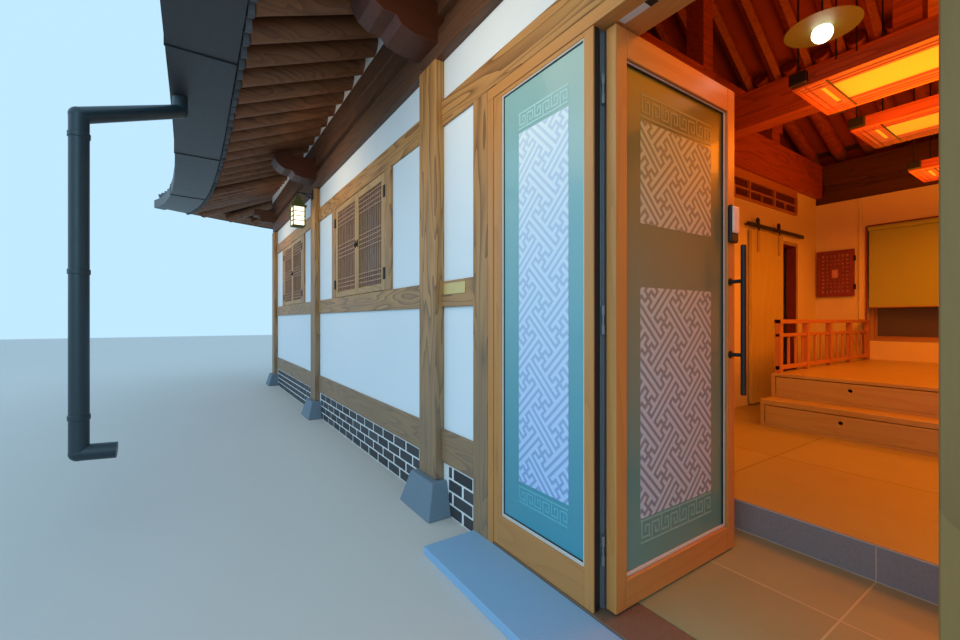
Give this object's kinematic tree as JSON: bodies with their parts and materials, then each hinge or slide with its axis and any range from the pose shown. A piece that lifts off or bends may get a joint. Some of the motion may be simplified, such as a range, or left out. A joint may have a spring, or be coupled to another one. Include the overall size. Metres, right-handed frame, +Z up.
{
  "type": "hanok house",
  "caption": "One-storey timber-framed hanok with plaster walls, lattice windows, glazed entrance door and a tiled hip-and-gable roof",
  "frame": {"origin": "middle of the floor plan, on the underside of the floor slab at ground level", "axes": "+X along the front towards the entrance end, the front faces -Y, +Z up"},
  "size_m": [11.0518, 8.8611, 5.506],
  "materials": {
    "timber": "oiled pine with open grain",
    "dark_timber": "dark stained timber",
    "red_timber": "red-brown stained timber",
    "window_wood": "dark red-brown lattice wood",
    "pine": "clear-coated pale pine",
    "platform_wood": "satin pale pine boards",
    "plaster": "smooth white lime plaster",
    "brick": "black brick with white joints",
    "granite": "blue-grey flamed granite",
    "floor_tile": "matt beige floor tile",
    "roof_tile": "dark grey fired clay tile",
    "door_glass": "tinted glass with a frosted fret pattern",
    "dark_metal": "black powder coat",
    "grey_metal": "grey anodised profile",
    "lamp": "milky lamp glass in a brass frame"
  },
  "bodies": {
    "house": {"column_front_1": "timber", "column_front_2": "timber", "column_front_3": "timber", "column_front_4": "timber", "column_back_1": "timber", "column_back_2": "timber", "column_back_3": "timber", "column_back_4": "timber", "column_far_middle": "timber", "column_near_middle": "timber", "front_rails": "timber", "back_rails": "timber", "far_end_rails": "timber", "near_end_rails": "timber", "wall_plate": "dark_timber", "crossbeam_far": "red_timber", "crossbeam_near": "red_timber", "upper_roof_frame": "red_timber", "rafters": "red_timber", "rafters_upper": "red_timber", "front_window_1": "window_wood", "front_window_2": "window_wood", "back_window_1": "window_wood", "back_window_2": "window_wood", "hall_window": "window_wood", "far_end_window": "window_wood", "near_end_window": "window_wood", "door_frame": "pine", "fixed_leaf": "pine", "railing": "pine", "platform_base": "platform_wood", "platform_top": "platform_wood", "front_wall": "plaster", "front_wall_near": "plaster", "over_door_wall": "plaster", "back_wall": "plaster", "far_end_wall": "plaster", "near_end_wall": "plaster", "partition_wall": "plaster", "masonry_base": "brick", "entrance_step": "granite", "floor_slab": "floor_tile", "roof": "roof_tile", "roof_ridges": "roof_tile", "fixed_glass": "door_glass", "sliding_door_rail": "dark_metal", "gutter_front": "dark_metal", "gutter_back": "dark_metal", "downpipe": "dark_metal", "hinge_profile": "grey_metal", "wall_lantern": "lamp"},
    "entrance_leaf": {"door_leaf": "pine", "door_glass": "door_glass", "door_handle": "dark_metal", "door_lock": "dark_metal"},
    "sliding_leaf": {"sliding_door": "pine"},
    "lower_drawer_1": {"drawer_lower_1": "platform_wood"},
    "lower_drawer_2": {"drawer_lower_2": "platform_wood"},
    "upper_drawer_1": {"drawer_upper_1": "platform_wood"},
    "upper_drawer_2": {"drawer_upper_2": "platform_wood"}
  },
  "joints": [
    {"name": "entrance_hinge", "type": "hinge", "parent": "house", "child": "entrance_leaf", "pos_m": [2.545, -2.711, 1.05], "axis": [0, 0, 1], "range_deg": [-90, 5]},
    {"name": "sliding_door_slide", "type": "slide", "parent": "house", "child": "sliding_leaf", "axis": [0, 1, 0], "range_m": [0, 0.5]},
    {"name": "lower_drawer_1_slide", "type": "slide", "parent": "house", "child": "lower_drawer_1", "axis": [0, -1, 0], "range_m": [0, 0.45]},
    {"name": "lower_drawer_2_slide", "type": "slide", "parent": "house", "child": "lower_drawer_2", "axis": [0, -1, 0], "range_m": [0, 0.45]},
    {"name": "upper_drawer_1_slide", "type": "slide", "parent": "house", "child": "upper_drawer_1", "axis": [0, -1, 0], "range_m": [0, 0.45]},
    {"name": "upper_drawer_2_slide", "type": "slide", "parent": "house", "child": "upper_drawer_2", "axis": [0, -1, 0], "range_m": [0, 0.45]}
  ]
}
